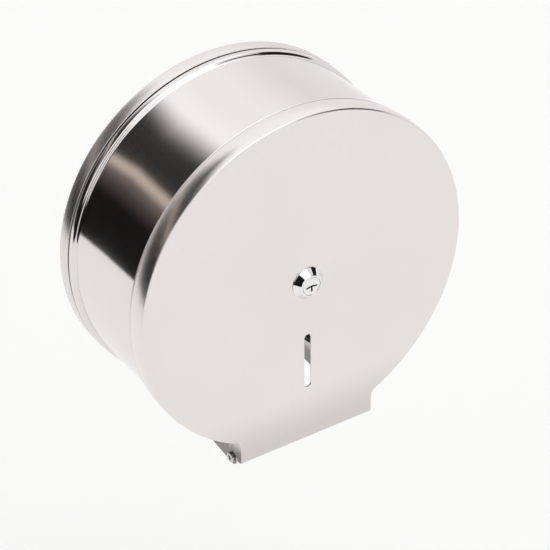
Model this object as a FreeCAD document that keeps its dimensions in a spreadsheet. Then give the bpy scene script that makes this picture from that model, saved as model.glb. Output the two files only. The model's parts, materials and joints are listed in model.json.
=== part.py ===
"""Round wall dispenser for one large paper roll: a stainless drum on a wall pan, with a hinged front cover.

Frame: millimetres, +X to the right of someone facing the cover, +Z up, and the room towards -Y.
The origin is on the wall plane, on the drum's axis, at the centre of the four wall slots.
Depths are measured from the wall towards the room, so a depth d is at y = -d.
"""

import FreeCAD, Part
import math
import os

import Sketcher

Vector = FreeCAD.Vector
Rotation = FreeCAD.Rotation
Placement = FreeCAD.Placement

doc = FreeCAD.newDocument("RollDispenser")
TOWARDS_ROOM = Rotation(Vector(1, 0, 0), 90)  # turns a primitive's own +Z to the room
ALONG_X = Rotation(Vector(0, 1, 0), 90)  # turns a primitive's own +Z to +X
NODES = []  # the labels that are exported, in order


# ---------------------------------------------------------------- driving dimensions

DIMENSIONS = [
    # outline shared by the wall pan and the cover, with the drum stepped in from it
    ("ring_radius", 125.5),
    ("drum_radius", 122.8),
    ("bib_half", 54.6),
    ("cheek_half", 52.2),
    ("bib_drop", 130.3),
    ("outlet_drop", 139.5),
    ("neck_fillet", 6.0),
    ("gauge", 0.8),
    # depths from the wall
    ("pan_depth", 11.8),
    ("bead_back", 12.8),
    ("bead_front", 17.8),
    ("bead_rise", 2.4),
    ("drum_front", 106.0),
    ("lip_back", 94.5),
    ("face_depth", 111.0),
    ("lock_front", 116.0),
    # rim shape
    ("rim_taper", 3.5),
    ("rim_round", 1.8),
    ("pan_round", 2.0),
    # hinge under the bib
    ("hinge_depth", 95.5),
    ("hinge_drop", 133.9),
    ("pin_radius", 1.7),
    ("pin_clearance", 0.05),
    ("leaf_gauge", 1.5),
    # spindle
    ("post_radius", 8.0),
    ("post_end", 84.5),
    ("hub_radius", 27.0),
    ("hub_back", 14.0),
    ("hub_front", 80.0),
    # lock
    ("barrel_radius", 9.0),
    ("barrel_back", 95.0),
    ("plug_radius", 6.6),
    ("bezel_radius", 11.8),
    ("bezel_front_radius", 7.6),
    ("cam_reach", 17.0),
    # wall fixing slots, centre to centre
    ("slot_pitch", 120.0),
    ("slot_radius", 2.75),
    ("slot_length", 12.0),
]

sheet = doc.addObject("Spreadsheet::Sheet", "Dims")
for row, (alias, number) in enumerate(DIMENSIONS, start=1):
    sheet.set(f"A{row}", alias)
    sheet.set(f"B{row}", str(number))
    sheet.setAlias(f"B{row}", alias)
doc.recompute()
SIZE = dict(DIMENSIONS)


# ---------------------------------------------------------------- helpers


def bind(item, **expressions):
    """Binds properties to the sheet: a double underscore in a name stands for a dot."""
    for name, expression in expressions.items():
        item.setExpression(name.replace("__", "."), expression)


def node(item, label):
    """Gives a finished sub-part its own label and lists it for export."""
    item.Label = label
    NODES.append(item)
    return item


def cylinder(radius, depth, length, x="0", z="0"):
    """A cylinder along the drum's axis that starts at a depth and runs towards the room."""
    item = doc.addObject("Part::Cylinder", "Cylinder")
    item.Placement = Placement(Vector(), TOWARDS_ROOM)
    bind(item, Radius=radius, Height=length, Placement__Base__x=x, Placement__Base__z=z)
    bind(item, Placement__Base__y=f"-({depth})")
    return item


def cone(back_radius, front_radius, depth, length, x="0", z="0"):
    """A cone along the drum's axis that starts at a depth and runs towards the room."""
    item = doc.addObject("Part::Cone", "Cone")
    item.Placement = Placement(Vector(), TOWARDS_ROOM)
    bind(item, Radius1=back_radius, Radius2=front_radius, Height=length)
    bind(item, Placement__Base__x=x, Placement__Base__z=z, Placement__Base__y=f"-({depth})")
    return item


def cross_pin(radius, start, length, depth, drop):
    """A cylinder along +X that starts at x = start, at a depth and a drop below the drum's axis."""
    item = doc.addObject("Part::Cylinder", "CrossPin")
    item.Placement = Placement(Vector(), ALONG_X)
    bind(item, Radius=radius, Height=length, Placement__Base__x=start)
    bind(item, Placement__Base__y=f"-({depth})", Placement__Base__z=f"-({drop})")
    return item


def block(width, length, height, x, depth, z):
    """A box: width along X, length from a depth towards the room, height up from z, x is its left side."""
    item = doc.addObject("Part::Box", "Block")
    bind(item, Length=width, Width=length, Height=height, Placement__Base__x=x)
    bind(item, Placement__Base__y=f"-({depth}) - ({length})", Placement__Base__z=z)
    return item


def fuse(*items):
    item = doc.addObject("Part::MultiFuse", "Fusion")
    item.Shapes = list(items)
    return item


def cut(base, *tools):
    item = doc.addObject("Part::Cut", "Cut")
    item.Base = base
    item.Tool = tools[0] if len(tools) == 1 else fuse(*tools)
    return item


def group(*items):
    """Identical fasteners as one sub-part of separate solids."""
    item = doc.addObject("Part::Compound", "Group")
    item.Links = list(items)
    return item


def new_body(label):
    return node(doc.addObject("PartDesign::Body", "Body"), label)


def new_sketch(body, role, offset="0"):
    """A sketch on one of the body's own planes, moved along the plane's normal by an expression."""
    plane = next(item for item in body.Origin.OriginFeatures if item.Role == role)
    sketch = body.newObject("Sketcher::SketchObject", "Sketch")
    sketch.AttachmentSupport = [(plane, "")]
    sketch.MapMode = "FlatFace"
    bind(sketch, AttachmentOffset__Base__z=offset)
    return sketch


def tie(sketch, index, expression):
    """Binds the constraint with this index to an expression."""
    sketch.setExpression(f"Constraints[{index}]", expression)


def closed_loop(sketch, points):
    """A closed loop of straight lines through the points, joined end to end. Returns the line indices."""
    count = len(points)
    lines = [
        sketch.addGeometry(
            Part.LineSegment(Vector(*points[i], 0), Vector(*points[(i + 1) % count], 0)), False
        )
        for i in range(count)
    ]
    for i, line in enumerate(lines):
        sketch.addConstraint(Sketcher.Constraint("Coincident", line, 2, lines[(i + 1) % count], 1))
    return lines


def place_point(sketch, line, end, across, up):
    """Fixes a line's end by two expressions, measured from the sketch's origin."""
    for kind, expression in (("DistanceX", across), ("DistanceY", up)):
        point = sketch.getPoint(line, end)
        now = point.x if kind == "DistanceX" else point.y
        index = sketch.addConstraint(Sketcher.Constraint(kind, -1, 1, line, end, now))
        tie(sketch, index, expression)


def polygon(sketch, corners):
    """A closed polygon whose corners are pairs of (number, expression) for each of the two directions."""
    lines = closed_loop(sketch, [(across[0], up[0]) for across, up in corners])
    for line, (across, up) in zip(lines, corners):
        place_point(sketch, line, 1, across[1], up[1])
    return lines


def plain(number):
    """A number as the pair that polygon takes."""
    return (number, str(number))


def circle(sketch, radius, across, up, start=(0.0, 0.0, 1.0)):
    """A circle placed and sized by expressions."""
    x, y, r = start
    index = sketch.addGeometry(Part.Circle(Vector(x, y, 0), Vector(0, 0, 1), r), False)
    tie(sketch, sketch.addConstraint(Sketcher.Constraint("Radius", index, r)), radius)
    place_point(sketch, index, 3, across, up)
    return index


def outline(sketch, radius, half, drop, fillet):
    """The front outline: a circle that opens at the bottom into a straight-sided neck with a flat foot."""
    big, side, foot, small = 125.0, 54.0, -130.0, 6.0
    centre_x = side + small
    centre_z = -math.sqrt((big + small) ** 2 - centre_x**2)
    join = math.atan2(centre_z, centre_x)
    z_axis = Vector(0, 0, 1)

    def arc(x, y, r, first, last):
        return sketch.addGeometry(
            Part.ArcOfCircle(Part.Circle(Vector(x, y, 0), z_axis, r), first, last), False
        )

    drum = arc(0, 0, big, join, math.pi - join)
    left = arc(-centre_x, centre_z, small, 0, -join)
    right = arc(centre_x, centre_z, small, math.pi + join, math.pi)

    def line(x1, y1, x2, y2):
        return sketch.addGeometry(Part.LineSegment(Vector(x1, y1, 0), Vector(x2, y2, 0)), False)

    left_side = line(-side, centre_z, -side, foot)
    base = line(-side, foot, side, foot)
    right_side = line(side, foot, side, centre_z)

    def constrain(*facts):
        return sketch.addConstraint(Sketcher.Constraint(*facts))

    constrain("Coincident", drum, 3, -1, 1)
    constrain("Tangent", drum, 2, left, 2)
    constrain("Tangent", left, 1, left_side, 1)
    constrain("Coincident", left_side, 2, base, 1)
    constrain("Coincident", base, 2, right_side, 1)
    constrain("Tangent", right_side, 2, right, 2)
    constrain("Tangent", right, 1, drum, 1)
    constrain("Vertical", left_side)
    constrain("Vertical", right_side)
    constrain("Horizontal", base)
    constrain("Equal", left, right)
    tie(sketch, constrain("Radius", drum, big), radius)
    tie(sketch, constrain("Radius", left, small), fillet)
    tie(sketch, constrain("DistanceX", base, 1, -1, 1, side), half)
    tie(sketch, constrain("DistanceX", -1, 1, base, 2, side), half)
    tie(sketch, constrain("DistanceY", base, 1, -1, 1, -foot), drop)


def slot(sketch, across, up, start):
    """A horizontal slot with round ends for a wall screw, centred by expressions."""
    radius, reach = SIZE["slot_radius"], SIZE["slot_length"] / 2 - SIZE["slot_radius"]
    x, y = start
    z_axis = Vector(0, 0, 1)
    ends = [
        sketch.addGeometry(
            Part.ArcOfCircle(
                Part.Circle(Vector(x + sign * reach, y, 0), z_axis, radius),
                -sign * math.pi / 2,
                -sign * math.pi / 2 + math.pi,
            ),
            False,
        )
        for sign in (1, -1)
    ]
    sides = [
        sketch.addGeometry(
            Part.LineSegment(
                Vector(x + sign * reach, y + sign * radius, 0),
                Vector(x - sign * reach, y + sign * radius, 0),
            ),
            False,
        )
        for sign in (1, -1)
    ]
    for end, side, after in ((0, 0, 1), (1, 1, 0)):
        sketch.addConstraint(Sketcher.Constraint("Tangent", ends[end], 2, sides[side], 1))
        sketch.addConstraint(Sketcher.Constraint("Tangent", sides[side], 2, ends[after], 1))
    sketch.addConstraint(Sketcher.Constraint("Equal", ends[0], ends[1]))
    index = sketch.addConstraint(Sketcher.Constraint("Radius", ends[0], radius))
    tie(sketch, index, "Dims.slot_radius")
    place_point(sketch, ends[0], 3, f"{across} + Dims.slot_length / 2 - Dims.slot_radius", up)
    place_point(sketch, ends[1], 3, f"{across} - Dims.slot_length / 2 + Dims.slot_radius", up)


def feature(body, kind, sketch, **expressions):
    """Adds a sketch-based feature to a body and makes it the body's tip."""
    item = body.newObject(f"PartDesign::{kind}", kind)
    item.Profile = sketch
    bind(item, **expressions)
    body.Tip = item
    sketch.Visibility = False
    return item


def cut_through(body, sketch, midplane=False):
    """Pockets a sketch through the whole body, both ways from its plane."""
    item = feature(body, "Pocket", sketch)
    item.Type = "ThroughAll"
    item.Midplane = midplane
    return item


def removes(body, item):
    """Recomputes and checks that a cut took material away."""
    doc.recompute()
    left = item.BaseFeature.Shape.Volume - item.Shape.Volume
    assert left > 0.01, f"{body.Label}: {item.Name} cut nothing"


def dress(body, kind, base, edges, **expressions):
    """Fillets or chamfers the edges of a feature that a test picks."""
    doc.recompute()
    names = [
        f"Edge{number}" for number, edge in enumerate(base.Shape.Edges, start=1) if edges(edge)
    ]
    assert names, f"{body.Label}: no edge to {kind}"
    item = body.newObject(f"PartDesign::{kind}", kind)
    item.Base = (base, names)
    bind(item, **expressions)
    body.Tip = item
    return item


def lies_at_depth(depth):
    """A test for edges that lie wholly in the plane at this depth."""
    return lambda edge: all(
        abs(edge.valueAt(edge.FirstParameter + part * (edge.LastParameter - edge.FirstParameter)).y + depth)
        < 1e-4
        for part in (0, 0.5, 1)
    )


def repeat_round(body, cut_feature, count, angle=360.0):
    """Repeats a cut round the drum's axis."""
    axis = next(item for item in body.Origin.OriginFeatures if item.Role == "Y_Axis")
    item = body.newObject("PartDesign::PolarPattern", "PolarPattern")
    item.Originals = [cut_feature]
    item.Axis = (axis, [""])
    item.Angle = angle
    item.Occurrences = count
    body.Tip = item
    return item


def polar(radius, degrees):
    return radius * math.cos(math.radians(degrees)), radius * math.sin(math.radians(degrees))


# ---------------------------------------------------------------- wall pan and drum

RIVET_RADIUS = 2.0
RIVET_HOLE = 2.1
RIVET_SET_IN = 0.1  # how far a rivet's back end sits in from the wall
RIVET_HEAD_HEIGHT = 1.3

# A ring of rivets: the circle's radius, the first angle, the step (degrees) and the count.
# The shell's first rivet is past the neck, so none falls in the outlet.
SHELL_RIVETS = (116.5, -60.0, 37.5, 9)
BASE_RIVETS = (24.0, 45.0, 90.0, 4)


def rivet_ring_cut(body, offset, ring):
    """One rivet hole and its repeats round the axis."""
    radius, first, step, count = ring
    x, z = polar(radius, first)
    sketch = new_sketch(body, "XZ_Plane", offset)
    circle(sketch, str(RIVET_HOLE), str(x), str(z), (x, z, RIVET_HOLE))
    hole = cut_through(body, sketch, midplane=True)
    removes(body, hole)
    # The XZ plane's normal points to the room, so a positive turn about +Y runs clockwise seen from there.
    full_turn = step * count > 359
    pattern = repeat_round(body, hole, count, 360.0 if full_turn else step * (count - 1))
    pattern.Reversed = True
    removes(body, pattern)


def base_pan():
    """The stamped pan that is screwed to the wall, with a turned-up rim."""
    body = new_body("base_pan")
    outer = new_sketch(body, "XZ_Plane")
    outline(outer, "Dims.ring_radius", "Dims.bib_half", "Dims.bib_drop", "Dims.neck_fillet")
    pad = feature(body, "Pad", outer, Length="Dims.pan_depth")
    dress(body, "Fillet", pad, lies_at_depth(0.0), Radius="Dims.pan_round")
    inner = new_sketch(body, "XZ_Plane", "Dims.pan_depth")
    outline(
        inner,
        "Dims.ring_radius - Dims.gauge",
        "Dims.bib_half - Dims.gauge",
        "Dims.bib_drop - Dims.gauge",
        "Dims.neck_fillet + Dims.gauge",
    )
    hollow = feature(body, "Pocket", inner, Length="Dims.pan_depth - Dims.gauge")
    removes(body, hollow)
    slots = new_sketch(body, "XZ_Plane", "Dims.gauge")
    pitch = SIZE["slot_pitch"] / 2
    for side in (-1, 1):
        for level in (-1, 1):
            slot(
                slots,
                f"{side} * Dims.slot_pitch / 2",
                f"{level} * Dims.slot_pitch / 2",
                (side * pitch, level * pitch),
            )
    removes(body, cut_through(body, slots, midplane=True))
    rivet_ring_cut(body, "Dims.gauge", SHELL_RIVETS)
    rivet_ring_cut(body, "Dims.gauge", BASE_RIVETS)
    return body


FLANGE_WIDTH = 11.0
PAST_OUTLET = 10.0  # how far a cutting outline runs below the outlet
SLOPE_START_DROP = 131.8  # the cheeks' foot at the bead, which falls towards the room
STEP_DROP = 129.2  # the cheeks' foot behind the bead, inside the pan's rim
RELIEF_DROP = 123.8
EAR_RADIUS = "Dims.outlet_drop - Dims.hinge_drop"
TEAR_RIVETS = ((83.5, 130.5), (83.5, 134.7))  # depth and drop of the rivets in each cheek
TEAR_RIVET_RADIUS = 1.5
TEAR_RIVET_HOLE = 1.6
TEAR_HEAD_RADIUS = 2.0
TEAR_HEAD_HEIGHT = 0.8


def is_bead_crest(edge):
    """True for the outer edge of the bead's front face: on its raised circle, its sides or its fillets."""
    middle = edge.valueAt((edge.FirstParameter + edge.LastParameter) / 2)
    crest = SIZE["drum_radius"] + SIZE["bead_rise"]
    on_ring = abs(math.hypot(middle.x, middle.z) - crest) < 0.01
    on_side = abs(abs(middle.x) - SIZE["cheek_half"] - SIZE["bead_rise"]) < 0.01
    on_fillet = abs(getattr(edge.Curve, "Radius", 0) - SIZE["neck_fillet"]) < 0.01
    return lies_at_depth(SIZE["bead_front"])(edge) and (on_ring or on_side or on_fillet)


def drum_shell():
    """The rolled drum wall. It runs down into two flat cheeks that stand either side of the paper outlet."""
    body = new_body("drum_shell")
    outer = new_sketch(body, "XZ_Plane", "Dims.gauge")
    outline(
        outer,
        "Dims.drum_radius",
        "Dims.cheek_half",
        "Dims.outlet_drop",
        "Dims.neck_fillet + Dims.ring_radius - Dims.drum_radius",
    )
    feature(body, "Pad", outer, Length="Dims.drum_front - Dims.gauge")
    ring = new_sketch(body, "XZ_Plane", "Dims.bead_back")
    outline(
        ring,
        "Dims.drum_radius + Dims.bead_rise",
        "Dims.cheek_half + Dims.bead_rise",
        "Dims.outlet_drop",
        "Dims.neck_fillet",
    )
    bead = feature(body, "Pad", ring, Length="Dims.bead_front - Dims.bead_back")
    dress(body, "Fillet", bead, is_bead_crest, Radius="Dims.bead_rise - 0.1")
    inner = new_sketch(body, "XZ_Plane", "Dims.drum_front")
    outline(
        inner,
        "Dims.drum_radius - Dims.gauge",
        "Dims.cheek_half - Dims.gauge",
        f"Dims.outlet_drop + {PAST_OUTLET}",
        "Dims.neck_fillet + Dims.ring_radius - Dims.drum_radius + Dims.gauge",
    )
    removes(body, feature(body, "Pocket", inner, Length="Dims.drum_front - 2 * Dims.gauge"))
    mouth = new_sketch(body, "XZ_Plane", "2 * Dims.gauge")
    outline(
        mouth,
        f"Dims.drum_radius - {FLANGE_WIDTH}",
        "Dims.cheek_half - Dims.gauge",
        f"Dims.outlet_drop + {PAST_OUTLET}",
        "Dims.neck_fillet",
    )
    removes(body, cut_through(body, mouth))
    removes(body, cut_through(body, cheek_profile(body), midplane=True))
    pin_holes = new_sketch(body, "YZ_Plane")
    circle(
        pin_holes,
        "Dims.pin_radius + Dims.pin_clearance",
        "-Dims.hinge_depth",
        "-Dims.hinge_drop",
        (-SIZE["hinge_depth"], -SIZE["hinge_drop"], SIZE["pin_radius"] + SIZE["pin_clearance"]),
    )
    for depth, drop in TEAR_RIVETS:
        circle(pin_holes, str(TEAR_RIVET_HOLE), str(-depth), str(-drop), (-depth, -drop, TEAR_RIVET_HOLE))
    removes(body, cut_through(body, pin_holes, midplane=True))
    rivet_ring_cut(body, "2 * Dims.gauge", SHELL_RIVETS)
    return body


def cheek_profile(body):
    """What is cut from the cheeks, seen from the side: below their sloping foot, and round the hinge ears."""
    sketch = new_sketch(body, "YZ_Plane")
    ear = SIZE["outlet_drop"] - SIZE["hinge_drop"]
    depth, drop = SIZE["hinge_depth"], SIZE["hinge_drop"]
    room = SIZE["drum_front"] + 2
    below = SIZE["outlet_drop"] + 5
    z_axis = Vector(0, 0, 1)
    ear_arc = sketch.addGeometry(
        Part.ArcOfCircle(
            Part.Circle(Vector(-depth, -drop, 0), z_axis, ear), math.pi / 2, 3 * math.pi / 2
        ),
        False,
    )
    corners = [
        (-depth, -SIZE["outlet_drop"]),
        (-SIZE["bead_back"], -SLOPE_START_DROP),
        (-SIZE["bead_back"], -STEP_DROP),
        (1.0, -STEP_DROP),
        (1.0, -below),
        (-room, -below),
        (-room, -RELIEF_DROP),
        (-depth, -RELIEF_DROP),
        (-depth, -drop + ear),
    ]
    lines = [
        sketch.addGeometry(Part.LineSegment(Vector(*first, 0), Vector(*second, 0)), False)
        for first, second in zip(corners, corners[1:])
    ]
    for first, second in zip(lines, lines[1:]):
        sketch.addConstraint(Sketcher.Constraint("Coincident", first, 2, second, 1))
    sketch.addConstraint(Sketcher.Constraint("Coincident", lines[-1], 2, ear_arc, 1))
    sketch.addConstraint(Sketcher.Constraint("Coincident", ear_arc, 2, lines[0], 1))
    place_point(sketch, ear_arc, 3, "-Dims.hinge_depth", "-Dims.hinge_drop")
    place_point(sketch, ear_arc, 1, "-Dims.hinge_depth", f"-Dims.hinge_drop + {EAR_RADIUS}")
    across = sketch.addConstraint(Sketcher.Constraint("DistanceX", -1, 1, ear_arc, 2, -depth))
    tie(sketch, across, "-Dims.hinge_depth")
    places = [
        ("-Dims.bead_back", str(-SLOPE_START_DROP)),
        ("-Dims.bead_back", str(-STEP_DROP)),
        ("1", str(-STEP_DROP)),
        ("1", "-Dims.outlet_drop - 5"),
        ("-Dims.drum_front - 2", "-Dims.outlet_drop - 5"),
        ("-Dims.drum_front - 2", str(-RELIEF_DROP)),
        ("-Dims.hinge_depth", str(-RELIEF_DROP)),
    ]
    for line, (across, up) in zip(lines[1:], places):
        place_point(sketch, line, 1, across, up)
    return sketch


def rivet(x, z, grip, head_radius):
    """A rivet along the drum's axis: a shank from the wall through its grip, with a head to the room."""
    shank = cylinder(str(RIVET_RADIUS), str(RIVET_SET_IN), grip, str(x), str(z))
    head_start = f"{RIVET_SET_IN} + {grip}"
    head_front = str(head_radius * 0.6)
    head = cone(str(head_radius), head_front, head_start, str(RIVET_HEAD_HEIGHT), str(x), str(z))
    return fuse(shank, head)


def rivet_ring(label, ring, grip, head_radius):
    """Rivets round the drum's axis, flush at the wall."""
    radius, first, step, count = ring
    places = [polar(radius, first + step * turn) for turn in range(count)]
    return node(group(*[rivet(x, z, grip, head_radius) for x, z in places]), label)


# ---------------------------------------------------------------- spindle and roll hub

BASE_RADIUS = 31.0
BASE_PLATE = 3.0
BOSS_RADIUS = 13.0
BOSS_LENGTH = 9.0
BOSS_SPREAD = 3.0  # how much wider the boss is at the plate
KEEPER_THREAD = 2.5
KEEPER_THREAD_DEPTH = 16.0


def spindle_base():
    """The flange that carries the post on the pan."""
    plate = cylinder(str(BASE_RADIUS), "Dims.gauge", str(BASE_PLATE))
    boss_start = f"Dims.gauge + {BASE_PLATE}"
    boss = cone(str(BOSS_RADIUS + BOSS_SPREAD), str(BOSS_RADIUS), boss_start, str(BOSS_LENGTH))
    bore = cylinder("Dims.post_radius + Dims.pin_clearance", "0", "30")
    holes = []
    radius, first, step, count = BASE_RIVETS
    for turn in range(count):
        x, z = polar(radius, first + step * turn)
        holes.append(cylinder(str(RIVET_HOLE), "0", "20", str(x), str(z)))
    return node(cut(fuse(plate, boss), bore, *holes), "spindle_base")


def spindle_post():
    """The steel post. Its front end is tapped for the keeper's screw."""
    bar = cylinder("Dims.post_radius", "Dims.gauge", "Dims.post_end - Dims.gauge")
    tapped = cylinder(str(KEEPER_THREAD), f"Dims.post_end - {KEEPER_THREAD_DEPTH}", "20")
    return node(cut(bar, tapped), "spindle_post")


def thrust_washer():
    """The washer between the base's boss and the turning hub."""
    start = f"(Dims.gauge + {BASE_PLATE + BOSS_LENGTH} + 0.1)"
    ring = cylinder(str(BOSS_RADIUS), start, f"Dims.hub_back - 0.3 - {start}")
    bore = cylinder("Dims.post_radius + 0.2", "0", "30")
    return node(cut(ring, bore), "thrust_washer")


HUB_WALL = 2.5
HUB_SLEEVE = 3.0  # the sleeve's own wall
HUB_RIBS = 6
HUB_FLANGE_RADIUS = 35.0
HUB_FLANGE = 3.0
HUB_NOSE = 5.0
HUB_NOSE_TAPER = 2.2


def roll_hub():
    """The moulded hub that the roll's core sits on: a sleeve on the post, ribs and an outer barrel."""
    run = "Dims.hub_front - Dims.hub_back"
    sleeve = cylinder(f"Dims.post_radius + {HUB_SLEEVE}", "Dims.hub_back", run)
    barrel = cut(
        cylinder("Dims.hub_radius", "Dims.hub_back", f"{run} - {HUB_NOSE}"),
        cylinder(f"Dims.hub_radius - {HUB_WALL}", f"Dims.hub_back + {HUB_FLANGE}", run),
    )
    nose_start = f"Dims.hub_front - {HUB_NOSE}"
    nose = cut(
        cone("Dims.hub_radius", f"Dims.hub_radius - {HUB_NOSE_TAPER}", nose_start, str(HUB_NOSE)),
        cylinder(f"Dims.hub_radius - {HUB_WALL} - 1.5", f"{nose_start} - 1", "10"),
    )
    flange = cylinder(str(HUB_FLANGE_RADIUS), "Dims.hub_back", str(HUB_FLANGE))
    ribs = []
    for turn in range(HUB_RIBS):
        rib = doc.addObject("Part::Box", "Rib")
        rib.Placement = Placement(Vector(), Rotation(Vector(0, 1, 0), 360 / HUB_RIBS * turn))
        angle = math.radians(360 / HUB_RIBS * turn)
        start = "(Dims.post_radius + 2)"
        bind(rib, Length=f"Dims.hub_radius - {HUB_WALL / 2} - {start}", Width=f"{run} - 2", Height="2")
        bind(rib, Placement__Base__x=f"{math.cos(angle)} * {start} - {math.sin(angle)}")
        bind(rib, Placement__Base__z=f"-{math.sin(angle)} * {start} - {math.cos(angle)}")
        bind(rib, Placement__Base__y="-Dims.hub_front + 2")
        ribs.append(rib)
    bore = cylinder("Dims.post_radius + Dims.pin_clearance", "0", "100")
    return node(cut(fuse(sleeve, barrel, nose, flange, *ribs), bore), "roll_hub")


def hub_retainer():
    """The ring that keeps the hub on the post."""
    ring = cylinder("Dims.post_radius + 4.5", "Dims.hub_front + 0.5", "1.5")
    bore = cylinder("Dims.post_radius + 0.02", "0", "100")
    return node(cut(ring, bore), "hub_retainer")


KEEPER_GAUGE = 1.5
KEEPER_HALF = 21.5
KEEPER_HEIGHT = 14.0
KEEPER_FRONT = 98.0


def keeper():
    """The channel on the post's end. The lock's cam passes its slot and turns behind its front plate."""
    gauge, wide, tall = str(KEEPER_GAUGE), str(2 * KEEPER_HALF), str(2 * KEEPER_HEIGHT)
    left, low = str(-KEEPER_HALF), str(-KEEPER_HEIGHT)
    base = block(wide, gauge, tall, left, "Dims.post_end", low)
    legs = [
        block(gauge, f"{KEEPER_FRONT} - Dims.post_end", tall, x, "Dims.post_end", low)
        for x in (left, str(KEEPER_HALF - KEEPER_GAUGE))
    ]
    front = block(wide, gauge, tall, left, str(KEEPER_FRONT - KEEPER_GAUGE), low)
    screw_hole = cylinder("2.8", "Dims.post_end - 5", "10")
    window = cylinder("Dims.barrel_radius + 1.2", str(KEEPER_FRONT - 4), "8")
    cam_slot = block("14", "8", "30", "-7", str(KEEPER_FRONT - 4), "0")
    return node(cut(fuse(base, *legs, front), screw_hole, window, cam_slot), "keeper")


def keeper_screw():
    """The pan-head screw that holds the keeper on the post."""
    under_head = f"Dims.post_end + {KEEPER_GAUGE}"
    shank = cylinder("2.4", "Dims.post_end - 14", f"14 + {KEEPER_GAUGE}")
    head = cylinder("4.8", under_head, "2.6")
    recess = block("7", "2", "1.2", "-3.5", f"{under_head} + 1.4", "-0.6")
    return node(cut(fuse(shank, head), recess), "keeper_screw")


# ---------------------------------------------------------------- tear bar

TEAR_DEPTH = 88.0
TEAR_TOP = -126.0
TEAR_FOOT = -137.0
TOOTH_PITCH = 4.0
TOOTH_COUNT = 25
TOOTH_RISE = 2.6
TAB_BACK = 79.0
TAB_GAUGE = 1.0
TAB_BELOW_STRIP = 0.5
TAB_BELOW_TOP = 2.0
TOOTH_LAND = 0.15  # half of the flat that is left between two notches


def tear_bar():
    """The toothed strip across the outlet, with an end tab turned back along each cheek."""
    body = new_body("tear_bar")
    half = "Dims.cheek_half - Dims.gauge - 0.1"
    side = SIZE["cheek_half"] - SIZE["gauge"] - 0.1
    strip = new_sketch(body, "XZ_Plane", str(TEAR_DEPTH - TAB_GAUGE))
    polygon(
        strip,
        [
            ((-side, f"-({half})"), plain(TEAR_FOOT)),
            ((side, half), plain(TEAR_FOOT)),
            ((side, half), plain(TEAR_TOP)),
            ((-side, f"-({half})"), plain(TEAR_TOP)),
        ],
    )
    feature(body, "Pad", strip, Length=str(TAB_GAUGE))
    foot, top = plain(TEAR_FOOT + TAB_BELOW_STRIP), plain(TEAR_TOP - TAB_BELOW_TOP)
    for sign in (-1, 1):
        tab = new_sketch(body, "XZ_Plane", str(TAB_BACK))
        inside = (sign * (side - TAB_GAUGE), f"{sign} * ({half} - {TAB_GAUGE})")
        outside = (sign * side, f"{sign} * ({half})")
        polygon(tab, [(inside, foot), (outside, foot), (outside, top), (inside, top)])
        feature(body, "Pad", tab, Length=str(TEAR_DEPTH - TAB_BACK - TAB_GAUGE / 2))
    rivets = new_sketch(body, "YZ_Plane")
    for depth, drop in TEAR_RIVETS:
        circle(rivets, str(TEAR_RIVET_HOLE), str(-depth), str(-drop), (-depth, -drop, TEAR_RIVET_HOLE))
    removes(body, cut_through(body, rivets, midplane=True))
    first = -TOOTH_PITCH * (TOOTH_COUNT - 1) / 2
    notch = new_sketch(body, "XZ_Plane", str(TEAR_DEPTH))
    polygon(
        notch,
        [
            (plain(first - TOOTH_PITCH / 2 + TOOTH_LAND), plain(TEAR_FOOT - 1)),
            (plain(first + TOOTH_PITCH / 2 - TOOTH_LAND), plain(TEAR_FOOT - 1)),
            (plain(first), plain(TEAR_FOOT + TOOTH_RISE)),
        ],
    )
    tooth_gap = feature(body, "Pocket", notch, Length="1.5")
    removes(body, tooth_gap)
    row = body.newObject("PartDesign::LinearPattern", "LinearPattern")
    row.Originals = [tooth_gap]
    row.Direction = (next(item for item in body.Origin.OriginFeatures if item.Role == "X_Axis"), [""])
    row.Length = TOOTH_PITCH * (TOOTH_COUNT - 1)
    row.Occurrences = TOOTH_COUNT
    body.Tip = row
    removes(body, row)
    return body


def tear_bar_rivets():
    """The rivets that hold the tear bar's tabs to the cheeks: flush outside, with low heads inside."""
    outer = "Dims.cheek_half"
    inner = f"({outer} - Dims.gauge - 0.1 - {TAB_GAUGE})"
    head = str(TEAR_HEAD_HEIGHT)
    ends = (
        (f"-({outer})", f"-{inner}"),
        (inner, f"{inner} - {head}"),
    )
    rivets = []
    for depth, drop in TEAR_RIVETS:
        for shank_start, cap_start in ends:
            shank = cross_pin(
                str(TEAR_RIVET_RADIUS), shank_start, f"{outer} - {inner}", str(depth), str(drop)
            )
            cap = cross_pin(str(TEAR_HEAD_RADIUS), cap_start, head, str(depth), str(drop))
            rivets.append(fuse(shank, cap))
    return node(group(*rivets), "tear_bar_rivets")


# ---------------------------------------------------------------- front cover

SIGHT_TOP = 41.8
SIGHT_FOOT = 85.6
SIGHT_HALF = 2.65
BIB_RETURN = 3.5
BIB_SIDE = 1.1  # the side wall's lean over the height of the bib, left standing beside the open foot
NOTCH_DROP = 124.8
NOTCH_FRONT = 106.3
NOTCH_ROUND = 4.0


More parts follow.
